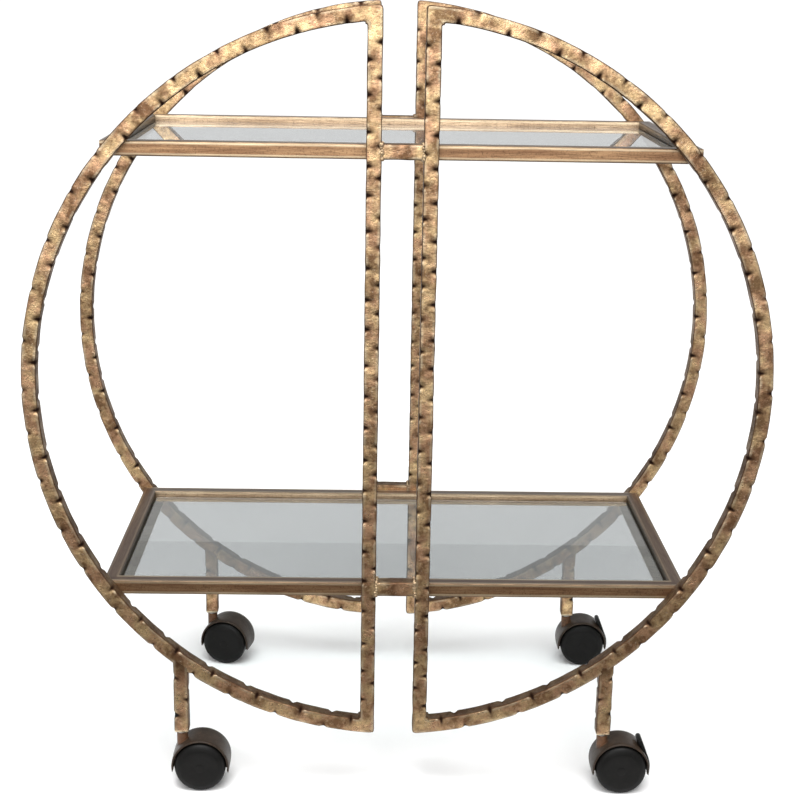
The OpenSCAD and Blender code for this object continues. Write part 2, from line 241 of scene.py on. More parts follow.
def hammer(along, points, outward, distance, seed, pitch=None):
    """Marks that a hammer leaves on a square tube.
    Each of the four edges gets V-shaped nicks at nearly even spacing, staggered from edge to edge: the
    depth falls linearly along the tube and as a bell curve away from the edge. The faces get shallow
    facets: straight lines between random heights. Returns the shifted section points and the masks for
    soot in the nicks, for painted shade (a dark line along the edges and a brown smear just above each
    nick, partly tarnish), and for painted highlights (on the rim just below each nick and in a line
    beside the edges)."""
    rng = np.random.default_rng(seed)
    length = along[-1] - along[0]
    shifted = np.repeat(points[None], len(along), 0)
    soot = np.zeros((len(along), len(points)))
    # Painted shade: a dark line along each edge
    shade_smear = np.repeat(0.95 * bell(distance.min(1), DARK_EDGE)[None], len(along), 0)
    knots = np.arange(along[0], along[-1] + PATCH_STEP, PATCH_STEP)
    patchiness = np.interp(along, knots, rng.uniform(0.1, 1, len(knots)))[:, None]
    # Painted highlight: an uneven bright line beside each edge
    painted_highlight = patchiness * bell(distance.min(1) - BRIGHT_EDGE, BRIGHT_EDGE_WIDTH)[None] * 0.8
    for face in FACES:
        normal = np.array(face, float)
        knots = np.arange(0, length + 2 * DENT_PITCH, DENT_PITCH) + rng.uniform(-1, 1) * DENT_SHIFT
        height = np.interp(along - along[0], knots, rng.uniform(-1, 0.2, len(knots)) * DENT_HEIGHT)
        facing = np.clip(outward @ normal, 0, 1)
        shifted += np.outer(height, facing)[..., None] * normal
    if pitch is None:
        burnt = bell(along - along.mean(), length / 5)[:, None] * patchiness
        return shifted, soot, np.maximum(shade_smear, burnt), painted_highlight
    starts = (NICK_PHASE + rng.uniform()) % 1
    for edge, corner in enumerate(CORNERS):
        spots = np.arange(starts[edge] * pitch + QUIET_END, length - QUIET_END, pitch)
        spots = spots + rng.uniform(-NICK_SCATTER, NICK_SCATTER, len(spots)) * pitch + along[0]
        if not len(spots):
            continue
        strength = 1.1 if corner[0] < 0 else 0.88
        size = rng.uniform(0.7, 1.1, len(spots)) * strength
        gap = along[:, None] - spots[None]
        away = distance[:, edge]
        vee = (np.clip(1 - np.abs(gap) / NICK_HALF_LENGTH, 0, 1) * NICK_DEPTH * size).max(1)
        inward = np.array(corner) / math.sqrt(2)
        shifted -= np.outer(vee, bell(away, NICK_REACH))[..., None] * inward
        core = (bell(gap, SOOT_ALONG) * np.minimum(1, size)).max(1)
        soot = np.maximum(soot, np.outer(core, bell(away, SOOT_ASIDE * strength)))
        # Painted shade: a brown smear just above the nick, partly tarnish
        halo = (bell(gap - SHADE_SMEAR_SHIFT, SHADE_SMEAR_ALONG) * rng.uniform(0.4, 1.0, len(spots))).max(1)
        shade_smear = np.maximum(shade_smear, np.outer(halo, bell(away, SHADE_SMEAR_ASIDE * strength)))
        # Painted highlight on the rim just below the nick
        highlight = 0.7 * bell(gap + HIGHLIGHT_SHIFT, HIGHLIGHT_ALONG).max(1)
        painted_highlight = np.maximum(painted_highlight, np.outer(highlight, bell(away, HIGHLIGHT_ASIDE)))
    facing_out = 1 - turned_aside(outward)
    return shifted, soot, shade_smear, painted_highlight * np.clip(1 - 1.6 * soot, 0, 1) * facing_out[None]


def corner_curve(to_end, radius):
    """How far a face bends towards a mitre's line where the corner is rounded with this radius: radius
    times one minus the sine of an angle that grows from 45 to 90 degrees as the distance to the end
    grows to the radius."""
    turn = np.arcsin(np.clip(to_end / (math.sqrt(2) * radius), 0, math.sqrt(0.5)))
    return radius * (1 - np.sin(math.pi / 4 + turn))


def hammered_piece(name, length, place, seed, nodes, flip=False, open_end=False, mitred=False,
                   pitch=None):
    """A hammered square tube carried along a path: place(s, u, v) gives the point at distance s from
    the path's middle and section coordinates u, v. The section is the rounded square of the tube. An
    open end, as on a leg, draws in with the square of the nearness to the end and gets a painted
    highlight round its rim, and the far end swells a little into a weld with darker tarnish. Mitred
    ends bend into the rounded corner."""
    points, outward, distance = square_profile(HALF_TUBE, PROFILE_CORNER, 6, 4)
    along = np.linspace(-length / 2, length / 2, max(8, int(length / TUBE_STEP)))
    if mitred:
        fine = np.arange(0.4, 9.4, 0.5) * MM
        along = np.unique(np.concatenate([along, fine - length / 2, length / 2 - fine]))
    rows = len(along)
    shifted, soot, shade_smear, painted_highlight = hammer(along, points, outward, distance, seed, pitch)
    if mitred:
        to_end = (length / 2 - np.abs(along))[:, None]
        inner_part = np.clip(-points[:, 0] / HALF_TUBE, 0, 1)[None]
        outer_part = np.clip(points[:, 0] / HALF_TUBE, 0, 1)[None]
        inside = inner_part * corner_curve(to_end, CORNER_INSIDE)
        shifted[..., 0] -= inside + outer_part * corner_curve(to_end, CORNER_OUTSIDE)
    if open_end:
        from_end = along - along[0]
        to_weld = along[-1] - along
        drawn_in = 0.14 * np.clip(1 - from_end / (1.8 * MM), 0, 1) ** 2
        scale = 1 - drawn_in + 0.02 * bell(to_weld, 9 * MM)
        shifted = shifted * scale[:, None, None]
        shade_smear = np.maximum(shade_smear, bell(to_weld, 13 * MM)[:, None])
        # Painted highlight round the open end's rim
        painted_highlight = np.maximum(painted_highlight, 0.9 * bell(from_end - 1.2 * MM, 1.3 * MM)[:, None])
    xyz = place(along[:, None], shifted[..., 0], shifted[..., 1])
    # Painted shade on the side faces, which turn away from the ring's face
    side = turned_aside(outward)[None] * np.ones((rows, 1))
    marks = {"soot": soot, "shade_smear": shade_smear, "painted_highlight": painted_highlight, "side": side}
    return piece(name, xyz.reshape(-1, 3), tube_faces(rows, len(points), flip), "frame",
                 HAMMERED, nodes=nodes, marks=marks, crease=50)


def arc_place(front, side):
    """Half circle: a point at angle s / middle radius on the circle of radius middle + u.
    Near its ends the angle slides with u so that the end face lies on the mitre with the upright."""
    middle_end = math.acos(UPRIGHT_X / MID_R)

    def place(s, u, v):
        end = np.arccos((UPRIGHT_X - u) / (MID_R + u))
        reach = np.clip((np.abs(s) - (MID_R * middle_end - MITRE_REACH)) / MITRE_REACH, 0, 1)
        angle = s / MID_R + np.sign(s) * reach * (end - middle_end)
        radius = MID_R + u
        x = radius * np.cos(angle) * SIGN[side]
        z = RING_Z + radius * np.sin(angle)
        return np.stack([x, SIGN[front] * RING_Y + v, z], -1)
    return place, 2 * MID_R * middle_end


def upright_place(front, side):
    """Straight tube: height s, moved near its ends so that each end lies on the mitre with the arc."""
    middle_end = math.sqrt(MID_R ** 2 - UPRIGHT_X ** 2)

    def place(s, u, v):
        end = np.sqrt((MID_R + u) ** 2 - (UPRIGHT_X - u) ** 2)
        reach = np.clip((np.abs(s) - (middle_end - MITRE_REACH)) / MITRE_REACH, 0, 1)
        z = RING_Z + s + np.sign(s) * reach * (end - middle_end)
        x = (UPRIGHT_X - u + 0 * s) * SIGN[side]
        return np.stack([x, SIGN[front] * RING_Y + v, z], -1)
    return place, 2 * middle_end


def bridge_place(front, level):
    """Short level tube between the uprights."""
    low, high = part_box(f"{front}_{level}_bridge")

    def place(s, u, v):
        return np.stack([s + 0 * u, SIGN[front] * RING_Y + v, (low.z + high.z) / 2 + u], -1)
    return place, high.x - low.x + 0.6 * MM


def leg_place(front, side):
    """Vertical tube whose upper end follows a circle a few millimetres inside the ring's skin."""
    skin_r = RING_R - 4.5 * MM
    low_z = LEG_LOW.z
    length = RING_Z - math.sqrt(skin_r ** 2 - LEG_X ** 2) - low_z

    def place(s, u, v):
        top = RING_Z - np.sqrt(skin_r ** 2 - (LEG_X + u * SIGN[side]) ** 2)
        part = (s + length / 2) / length
        return np.stack([LEG_X * SIGN[side] + u + 0 * s, SIGN[front] * RING_Y + v,
                         low_z + part * (top - low_z)], -1)
    return place, length


def weld_beads(front, seed):
    """Rows of small overlapping beads where the bridges meet the uprights: each bead is a squashed ball
    whose radius grows and shrinks with a sine of its angles."""
    rng = np.random.default_rng(seed + 500)
    polar_angle = np.linspace(0, math.pi, BEAD_ROWS)[:, None]
    around = np.linspace(0, 2 * math.pi, BEAD_COLS, endpoint=False)[None]
    shells = []
    for level in ("upper", "lower"):
        low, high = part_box(f"{front}_{level}_bridge")
        middle = (low.z + high.z) / 2
        for end_x in (low.x, high.x):
            spots = [(y, z) for z in (low.z, high.z) for y in np.linspace(-6.5, 6.5, 5) * MM]
            heights = middle + np.linspace(-7.5, 7.5, 6) * MM
            spots += [(y, z) for y in (-HALF_TUBE, HALF_TUBE) for z in heights]
            for y, z in spots:
                size = rng.uniform(1.5, 2.8) * MM
                r = size * (1 + 0.12 * np.sin(3 * around + rng.uniform(0, 6)) * np.sin(polar_angle))
                ball = np.stack([r * np.sin(polar_angle) * np.cos(around),
                                 np.sin(polar_angle) * np.sin(around) * r * 0.8,
                                 -r * np.cos(polar_angle) + 0 * around], -1)
                slip = rng.uniform(-0.8, 0.8) * MM
                centre = np.array([end_x + slip, SIGN[front] * RING_Y + y * 0.93, z])
                inner = (ball[1:-1] + centre).reshape(-1, 3)
                tips = np.stack([ball[0, 0], ball[-1, 0]]) + centre
                shells.append((np.concatenate([inner, tips]), with_poles(BEAD_ROWS - 2, BEAD_COLS)))
    points, faces = joined(shells)
    # The beads get a little painted shade and a little painted highlight, and no side shade
    levels = {"soot": 0.2, "shade_smear": 0.5, "painted_highlight": 0.25, "side": 0.0}
    marks = {label: np.full(len(points), value) for label, value in levels.items()}
    piece(f"{front}_weld_beads", points, faces, "frame", HAMMERED, marks=marks,
          crease=80)


def build_rings():
    """Rings, bridges and legs."""
    seed = 11
    for front in ("front", "back"):
        for side in ("left", "right"):
            for part, maker in (("arc", arc_place), ("upright", upright_place), ("leg", leg_place)):
                place, length = maker(front, side)
                flips = {"arc": side == "left", "upright": side == "right", "leg": False}
                seed += 1
                hammered_piece(f"{front}_{side}_{part}_hammered", length, place, seed,
                               [f"{front}_{side}_{part}"], flip=flips[part], open_end=part == "leg",
                               mitred=part != "leg", pitch=NICK_PITCH[part])
        for level in ("upper", "lower"):
            place, length = bridge_place(front, level)
            seed += 1
            hammered_piece(f"{front}_{level}_bridge_hammered", length, place, seed,
                           [f"{front}_{level}_bridge"], flip=True)
        weld_beads(front, seed)


# ---------------------------------------------------------------- shelves

RAIL_ROWS = 60
RAIL_CORNER = 1.0 * MM
QUARTER_TURNS = {"front": 0, "right": 1, "back": 2, "left": 3}


def rail_piece(level, side):
    """Mitred square rail: the rounded square section carried along the rail's length. The length at
    each section point shrinks by the point's distance inward, so that the ends lie on the mitre."""
    low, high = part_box(f"{level}_{side}_rail")
    points, outward, distance = square_profile(RAIL_TUBE / 2, RAIL_CORNER, 9, 4)
    half_length = max(high.x - low.x, high.y - low.y) / 2
    inward = points[:, 0] + RAIL_TUBE / 2
    part = np.linspace(-1, 1, RAIL_ROWS)[:, None]
    sunk = 0.12 * MM * np.sin(23 * part + half_length * 40) * np.cos(9.1 * part)
    run = part * (half_length - inward)[None]
    depth = inward[None] - half_depth(level, side) + 0 * part
    height = (low.z + high.z) / 2 + points[None, :, 1] + sunk * np.sign(points[None, :, 1]) * 0.5
    turn = QUARTER_TURNS[side] * math.pi / 2
    x = run * math.cos(turn) - depth * math.sin(turn)
    y = run * math.sin(turn) + depth * math.cos(turn)
    xyz = np.stack([x, y, height], -1)
    long_rail = side in ("front", "back")
    to_corner = distance.min(1)
    level_face = np.clip(np.abs(outward[:, 1]) * 1.6 - 0.6, 0, 1)
    # Painted highlight: a bright line just inside each edge, strong on the long rails
    edge = bell(to_corner - 2.1 * MM, 0.9 * MM) * (0.8 if long_rail else 0.25)
    weld = np.clip(1 - (half_length - np.abs(run)) / (14 * MM), 0, 1)
    # Painted shade on the side rails' inner faces and in a thin line along every edge
    inner_face = np.clip(outward[:, 0], 0, 1) * (not long_rail)
    shaded_inside = np.maximum(inner_face, 0.75 * bell(to_corner, 1.0 * MM))
    marks = {"level_face": level_face + 0 * part, "edge": edge + 0 * part, "weld": weld,
             "shaded_inside": shaded_inside + 0 * part}
    return piece(f"{level}_{side}_rail_brushed", xyz.reshape(-1, 3),
                 tube_faces(RAIL_ROWS, len(points)), "frame", RAIL_LIGHTING[side],
                 nodes=[f"{level}_{side}_rail"], marks=marks, crease=50)


def half_depth(level, side):
    """Distance from the cart's middle to a rail's outer face."""
    low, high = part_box(f"{level}_{side}_rail")
    return max(abs(low.y), abs(high.y)) if side in ("front", "back") else max(abs(low.x), abs(high.x))


def glass_piece(level):
    """Glass plate with rounded corners and ground, rounded edges."""
    low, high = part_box(f"{level}_glass")
    edge = 1.4 * MM
    corner = 6 * MM
    sweep = np.linspace(0, math.pi / 2, 7)
    centre = np.array([high.x - corner, high.y - corner])
    outline = []
    outward = []
    for quarter, signs in enumerate(CORNERS):
        turn = quarter * math.pi / 2
        arc = np.stack([np.cos(sweep + turn), np.sin(sweep + turn)], -1)
        outline.append(centre * signs + corner * arc)
        outward.append(arc)
    xy, height = rounded_rows(np.concatenate(outline), np.concatenate(outward), low.z, high.z, edge, 6)
    xyz = np.concatenate([xy, height[..., None]], -1)
    return piece(f"{level}_glass_plate", xyz.reshape(-1, 3), tube_faces(*height.shape), "frame", GLASS,
                 nodes=[f"{level}_glass"], crease=60)


# ---------------------------------------------------------------- casters

def caster_turn(front, side):
    """Swivel of a caster at rest, from the direction of its roll joint's axis."""
    for joint in frame["joints"]:
        if joint["name"] == f"{front}_{side}_outer_roll":
            return math.atan2(-joint["axis"][0], joint["axis"][1])
    return 0.0


def at_caster(points, front, side):
    """Points drawn round a caster's stem, with +X towards the axle, moved to that caster's place."""
    turn = caster_turn(front, side)
    x = points[..., 0] * math.cos(turn) - points[..., 1] * math.sin(turn) + LEG_X * SIGN[side]
    y = points[..., 0] * math.sin(turn) + points[..., 1] * math.cos(turn) + RING_Y * SIGN[front]
    return np.stack([x, y, points[..., 2]], -1).reshape(-1, 3)


def fillet(corners, radius, steps=5):
    """Rounds the corners of a polyline: each inner corner becomes a quadratic curve between the points
    at the fillet radius before and after it."""
    corners = np.asarray(corners, float)
    radius = np.broadcast_to(radius, len(corners))
    out = [corners[:1]]
    t = np.linspace(0, 1, steps)[:, None]
    for before, here, after, r in zip(corners, corners[1:], corners[2:], radius[1:]):
        a = here + (before - here) * min(0.49, r / max(1e-9, np.linalg.norm(before - here)))
        b = here + (after - here) * min(0.49, r / max(1e-9, np.linalg.norm(after - here)))
        out.append(a * (1 - t) ** 2 + 2 * here * t * (1 - t) + b * t ** 2)
    out.append(corners[-1:])
    return np.concatenate(out)


def revolved(profile, segments):
    """Closed surface of revolution about the first axis: profile rows are (place along the axis,
    radius), and its two end points lie on the axis. Gives points (axis, radius cos, radius sin) and
    faces."""
    turn = np.linspace(0, 2 * math.pi, segments, endpoint=False)
    inner = profile[1:-1]
    ring = np.stack([np.broadcast_to(inner[:, :1], (len(inner), segments)),
                     inner[:, 1:] * np.cos(turn), inner[:, 1:] * np.sin(turn)], -1).reshape(-1, 3)
    poles = np.array([[profile[0][0], 0, 0], [profile[-1][0], 0, 0]])
    return np.concatenate([ring, poles]), with_poles(len(inner), segments)


def stood_up(points):
    """Turns a surface of revolution so that its axis is upright."""
    return points[:, [1, 2, 0]]


def wheel_piece(front, side, which):
    """Wheel disc: a flat tread that rounds over a wide shoulder into a slightly dished face with a
    small raised hub outside, and a deep ring hollow inside. The outline is revolved about the axle."""
    r = WHEEL_R
    w = WHEEL_W
    outside = fillet([
        [w - 0.8 * MM, 0], [w - 0.8 * MM, 4.4 * MM], [w - 1.1 * MM, 5.2 * MM], [w - 0.5 * MM, 12 * MM],
        [w - 0.1 * MM, 18 * MM], [w, 22.6 * MM], [w - 0.7 * MM, 24.6 * MM], [w - 1.2 * MM, 26.2 * MM],
        [w - 2.4 * MM, 28.3 * MM], [w - 4.4 * MM, r - 0.3 * MM], [w - 6 * MM, r], [1.2 * MM, r],
        [0, r - 1.2 * MM], [0, 23.5 * MM], [7.5 * MM, 22.8 * MM], [8 * MM, 8.5 * MM],
        [0.2 * MM, 8 * MM], [0, 4.0 * MM], [0, 0]], 1.0 * MM)
    points, faces = revolved(outside[::-1], 96)
    away = SIGN[front] if which == "outer" else -SIGN[front]
    across = away * (WHEEL_GAP / 2 + points[:, 0])
    local = np.stack([TRAIL + points[:, 1], across, AXLE_Z + points[:, 2]], -1)
    if away > 0:
        faces = [f[:, ::-1] for f in faces]
    return piece(f"{front}_{side}_{which}_wheel_disc", at_caster(local, front, side), faces,
                 f"{front}_{side}_{which}_roller", BLACK_PLASTIC,
                 nodes=[f"{front}_{side}_{which}_wheel"], crease=28)


TIP_ANGLE = math.degrees(math.asin(8 * MM / HOOD_R))
TIP_SLANT = math.radians(7)
NOTCH_TOP = 46
HOOD_ROWS = 72
HOOD_WALL = 2.4 * MM
HOOD_BEVEL = 0.3 * MM
CHEEK_OUTER = 30.6 * MM
CHEEK_INNER = 19 * MM
CHEEK_TOP = 60
CHEEK_MIDDLE = 4.55 * MM
CHEEK_HALF = 1.95 * MM
BOSS_R = 9 * MM
LEVER_LOW, LEVER_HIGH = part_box("front_right_brake_lever")
LEVER_W = LEVER_HIGH.y - LEVER_LOW.y
WEB_HALF = WHEEL_GAP / 2 - 1.1 * MM


def hood_band(width_low, width_high, start, end, tips):
    """Part of the hood's shell over the wheels: a closed section across the width, crowned outside and
    with rounded shoulders, swept about the axle from one angle to the other. With tips, the free ends
    are cut aslant: the outer skin reaches lower than the inner one."""
    shoulder = 1.3 * MM
    crown = 0.5 * MM
    outer_y = np.linspace(width_low + shoulder, width_high - shoulder, 13)
    outer_r = HOOD_R - crown * (2 * outer_y / HOOD_W) ** 4
    quarter = np.linspace(0, math.pi / 2, 5)[1:]
    right = np.stack([outer_y[-1] + shoulder * np.sin(quarter),
                      outer_r[-1] - shoulder * (1 - np.cos(quarter))], -1)
    left = np.stack([outer_y[0] - shoulder * np.sin(quarter),
                     outer_r[0] - shoulder * (1 - np.cos(quarter))], -1)[::-1]
    inner_r = HOOD_R - HOOD_WALL
    inner = np.array([[width_high, inner_r + HOOD_BEVEL], [width_high - HOOD_BEVEL, inner_r],
                      [width_low + HOOD_BEVEL, inner_r], [width_low, inner_r + HOOD_BEVEL]])
    section = np.concatenate([np.stack([outer_y, outer_r], -1), right, inner, left])
    part = np.linspace(0, 1, HOOD_ROWS)[:, None]
    radius = section[None, :, 1]
    slant = (HOOD_R - radius) / HOOD_WALL * TIP_SLANT
    reach = np.clip((np.abs(2 * part - 1) - 0.85) / 0.15, 0, 1)
    low_cut = slant * reach * (part < 0.5) * tips[0]
    high_cut = slant * reach * (part > 0.5) * tips[1]
    angle = start + part * (end - start) + low_cut - high_cut
    xyz = np.stack([TRAIL + radius * np.cos(angle), section[None, :, 0] + 0 * part,
                    AXLE_Z + radius * np.sin(angle)], -1)
    return xyz.reshape(-1, 3), tube_faces(HOOD_ROWS, len(section))


def slab(outline, y_low, y_high, edge):
    """Flat piece with rounded edges, from a closed outline in the wheel's plane that runs
    counter-clockwise seen from the front."""
    ahead = np.roll(outline, -1, 0) - np.roll(outline, 1, 0)
    ahead /= np.linalg.norm(ahead, axis=1)[:, None]
    outward = np.stack([ahead[:, 1], -ahead[:, 0]], -1)
    xz, depth = rounded_rows(outline, outward, y_low, y_high, edge, 4)
    xyz = np.stack([xz[..., 0], depth, xz[..., 1]], -1)
    return xyz.reshape(-1, 3), tube_faces(*depth.shape, flip=True)


def polar(radius, degrees):
    """Points round the axle in the wheel's plane, at that radius and angle above the trailing side."""
    angle = np.radians(degrees)
    return np.stack([TRAIL + radius * np.cos(angle), AXLE_Z + radius * np.sin(angle)], -1)


def stretch(radius, first, last, count):
    """Evenly spaced points along an arc round the axle."""
    return polar(radius, np.linspace(first, last, count))


def hood_piece(front, side):
    """Hood: the shell over both wheels, the web between them and the round neck that takes the stem."""
    start = math.radians(-TIP_ANGLE)
    end = math.radians(180 + TIP_ANGLE)
    half = HOOD_W / 2
    web_r = HOOD_R - HOOD_WALL + 0.6 * MM
    if side == "right":
        notch = math.radians(NOTCH_TOP)
        room = LEVER_W / 2 + 0.5 * MM
        ear = np.concatenate([stretch(CHEEK_OUTER, -12, CHEEK_TOP, 16),
                              stretch(CHEEK_INNER, CHEEK_TOP, -14, 10)])
        shells = [hood_band(-half, half, notch, end, (0, 1)),
                  hood_band(-half, -room, start, notch, (1, 0)),
                  hood_band(room, half, start, notch, (1, 0)),
                  slab(ear, -CHEEK_MIDDLE - CHEEK_HALF, -CHEEK_MIDDLE + CHEEK_HALF, 0.4 * MM),
                  slab(ear, CHEEK_MIDDLE - CHEEK_HALF, CHEEK_MIDDLE + CHEEK_HALF, 0.4 * MM)]
        outline = np.concatenate([stretch(web_r, CHEEK_TOP + 2, 180 + TIP_ANGLE, 60),
                                  stretch(BOSS_R, 200, 340, 12),
                                  stretch(CHEEK_INNER + 1 * MM, -14, CHEEK_TOP, 12)])
    else:
        shells = [hood_band(-half, half, start, end, (1, 1))]
        outline = np.concatenate([stretch(web_r, 2 - TIP_ANGLE, 180 + TIP_ANGLE, 60),
                                  stretch(BOSS_R, 215, 325, 14)])
    shells.append(slab(outline, -WEB_HALF, WEB_HALF, 0.6 * MM))
    neck_low = AXLE_Z - HOOD_R * math.sin(math.radians(TIP_ANGLE)) + 23 * MM
    neck_high = NECK_TOP - 0.2 * MM
    neck = fillet([[neck_low, 0], [neck_low, COLLAR_R], [neck_high, COLLAR_R], [neck_high, 4.2 * MM],
                   [neck_high, 0]], 0.8 * MM)
    flare = bell(neck[:, 0] - (AXLE_Z + 25 * MM), 4.5 * MM) * 1.6 * MM
    neck[:, 1] += flare * (neck[:, 1] > 5 * MM)
    points, faces = revolved(densify(neck, 1.2 * MM), 48)
    shells.append((stood_up(points), faces))
    points, faces = joined(shells)
    near_stem = np.clip(1 - (np.hypot(points[:, 0], points[:, 1]) - 6.2 * MM) / (2.5 * MM), 0, 1)
    above_web = np.clip((points[:, 2] - AXLE_Z - 20 * MM) / (6 * MM), 0, 1)
    return piece(f"{front}_{side}_hood_shell", at_caster(points, front, side), faces,
                 f"{front}_{side}_caster", HOOD_BRONZE, nodes=[f"{front}_{side}_hood"],
                 marks={"neck": near_stem * above_web}, crease=40)


def densify(line, step):
    """Adds evenly spaced points to a polyline so that no stretch is longer than the step."""
    out = [line[:1]]
    for a, b in zip(line, line[1:]):
        count = max(1, int(np.linalg.norm(b - a) / step))
        out.append(a + (b - a) * np.linspace(0, 1, count + 1)[1:, None])
    return np.concatenate(out)


def stem_piece(front, side):
    """Stem with its collar, turned from one bar: revolved about the upright axis."""
    low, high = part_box(f"{front}_{side}_stem")
    collar_low = LEG_LOW.z - 1.9 * MM
    profile = fillet([[low.z, 0], [low.z, 4 * MM], [collar_low, 4 * MM], [collar_low, COLLAR_R],
                      [LEG_LOW.z, COLLAR_R], [LEG_LOW.z, 4 * MM], [high.z, 4 * MM], [high.z, 0]],
                     0.45 * MM, 4)
    points, faces = revolved(profile, 48)
    return piece(f"{front}_{side}_stem_turned", at_caster(stood_up(points), front, side), faces,
                 "frame", STEEL, nodes=[f"{front}_{side}_stem"])


def lever_piece(front, side):
    """Foot lever: a curved plate that closes the hood's notch and runs up into a thumb tab with a
    rounded tip, drawn as one outline, and the arm to the pin as a second, narrower slab."""
    outer = 35.8 * MM
    inner = 32.4 * MM
    bulb = np.radians(np.linspace(10, 190, 11))
    tab = polar(38.9 * MM, [54]) + 3.1 * MM * np.stack([np.cos(bulb), np.sin(bulb)], -1)
    plate = np.concatenate([stretch(outer, -12, 31, 16), polar(37.4 * MM, [38]), tab,
                            polar(35.3 * MM, [46.6]), polar(inner + 0.2 * MM, [44]),
                            stretch(inner, 40, -11, 18)])
    arm = np.concatenate([stretch(22.4 * MM, 6, -9, 6), polar(inner + 1 * MM, [-8]),
                          stretch(inner + 1 * MM, -4, 24, 8), polar(26 * MM, [14])])
    points, faces = joined([slab(densify(plate, 1.0 * MM)[:-1], -LEVER_W / 2, LEVER_W / 2, 0.7 * MM),
                            slab(arm, -2 * MM, 2 * MM, 0.3 * MM)])
    return piece(f"{front}_{side}_brake_lever_moulded", at_caster(points, front, side), faces,
                 f"{front}_{side}_foot_brake", BLACK_PLASTIC,
                 nodes=[f"{front}_{side}_brake_lever"], crease=40)


# ---------------------------------------------------------------- materials

def paint(red, green, blue):
    """Colour from its display values, 0 to 255, as scene-linear red, green, blue and alpha."""
    shown = np.array([red, green, blue]) / 255
    linear = np.where(shown <= 0.04045, shown / 12.92, ((shown + 0.055) / 1.055) ** 2.4)
    return (*linear.tolist(), 1.0)


def add(tree, kind, **values):
    """New shader node with its properties set."""
    node = tree.nodes.new(kind)
    for key, value in values.items():
        setattr(node, key, value)
    return node


def link(source, target):
    """Joins an output socket to an input socket of the same tree."""
    source.id_data.links.new(source, target)


def noise(vector, scale, detail=4.0, roughness=0.6):
    """Noise texture over a vector; gives its factor output."""
    node = add(vector.id_data, "ShaderNodeTexNoise")
    for name, number in zip(("Scale", "Detail", "Roughness"), (scale, detail, roughness)):
        node.inputs[name].default_value = number
    link(vector, node.inputs["Vector"])
    return node.outputs["Fac"]


def spread(value, low, high, to_low=0.0, to_high=1.0):
    """Stretches a value from one range to another, held at the ends."""
    node = add(value.id_data, "ShaderNodeMapRange", clamp=True)
    for name, number in zip(("From Min", "From Max", "To Min", "To Max"), (low, high, to_low, to_high)):
        node.inputs[name].default_value = number
    link(value, node.inputs["Value"])
    return node.outputs["Result"]


def mixed(factor, first, second):
    """Mixes two colours by a factor; each is a socket or a fixed colour."""
    node = add(factor.id_data, "ShaderNodeMix", data_type="RGBA")
    link(factor, node.inputs["Factor"])
    for socket, colour in ((node.inputs[6], first), (node.inputs[7], second)):
        if isinstance(colour, tuple):
            socket.default_value = colour
        else:
            link(colour, socket)
    return node.outputs[2]


def times(first, second, operation="MULTIPLY"):
    """Product of a value and a value or a number."""
    node = add(first.id_data, "ShaderNodeMath", operation=operation)
    link(first, node.inputs[0])
    if isinstance(second, float):
        node.inputs[1].default_value = second
    else:
        link(second, node.inputs[1])
    return node.outputs[0]


def plus(first, second):
    """Sum of two values."""
    return times(first, second, "ADD")


def laid_over(below, mask, strength, colour):
    """Lays a colour over another where a mask is, at a strength."""
    return mixed(times(mask, strength), below, colour)


def effect(name, inputs, outputs):
    """Empty shader node group: inputs are (label, kind, value) and outputs are labels of numbers.
    Gives the tree and its input and output nodes."""
    tree = bpy.data.node_groups.new(name, "ShaderNodeTree")
    for label, kind, value in inputs:
        socket = tree.interface.new_socket(name=label, in_out="INPUT", socket_type=kind)
        if value is not None:
            socket.default_value = value
    for label in outputs:
        tree.interface.new_socket(name=label, in_out="OUTPUT", socket_type="NodeSocketFloat")
    return tree, tree.nodes.new("NodeGroupInput"), tree.nodes.new("NodeGroupOutput")


def use(group, vector, **values):
    """Places a group in a material with its own values."""
    node = add(vector.id_data, "ShaderNodeGroup", node_tree=group)
    link(vector, node.inputs["Vector"])
    for key, value in values.items():
        node.inputs[key.replace("_", " ")].default_value = value
    return node


def patina_group():
    """Blotchy tarnish: two sizes of noise added for blotches, with fine dark specks and glints."""
    tree, source, result = effect(
        "patina", [("Vector", "NodeSocketVector", None), ("Size", "NodeSocketFloat", 1.0)],
        ["Blotch", "Speck", "Glint", "Fine"])
    scaled = add(tree, "ShaderNodeVectorMath", operation="SCALE")
    link(source.outputs["Vector"], scaled.inputs[0])
    link(source.outputs["Size"], scaled.inputs["Scale"])
    vector = scaled.outputs["Vector"]
    large = noise(vector, 38, 3)
    small = noise(vector, 120, 5, 0.7)
    blend = plus(times(large, 0.6), times(small, 0.4))
    link(spread(blend, 0.41, 0.59), result.inputs["Blotch"])
    link(spread(noise(vector, 420, 3, 0.75), 0.52, 0.72), result.inputs["Speck"])
    link(spread(noise(vector, 310, 4, 0.8), 0.58, 0.74), result.inputs["Glint"])
    link(noise(vector, 900, 2), result.inputs["Fine"])
    return tree


def grain_group():
    """Lengthwise brushing: noise on coordinates squeezed along the run, so it draws out into lines."""
    tree, source, result = effect(
        "grain",
        [("Vector", "NodeSocketVector", None), ("Squeeze", "NodeSocketVector", (1.0, 1.0, 1.0))],
        ["Line", "Broad"])
    product = add(tree, "ShaderNodeVectorMath", operation="MULTIPLY")
    link(source.outputs["Vector"], product.inputs[0])
    link(source.outputs["Squeeze"], product.inputs[1])
    vector = product.outputs["Vector"]
    link(noise(vector, 900, 4, 0.7), result.inputs["Line"])
    link(spread(noise(vector, 170, 3), 0.35, 0.65), result.inputs["Broad"])
    return tree


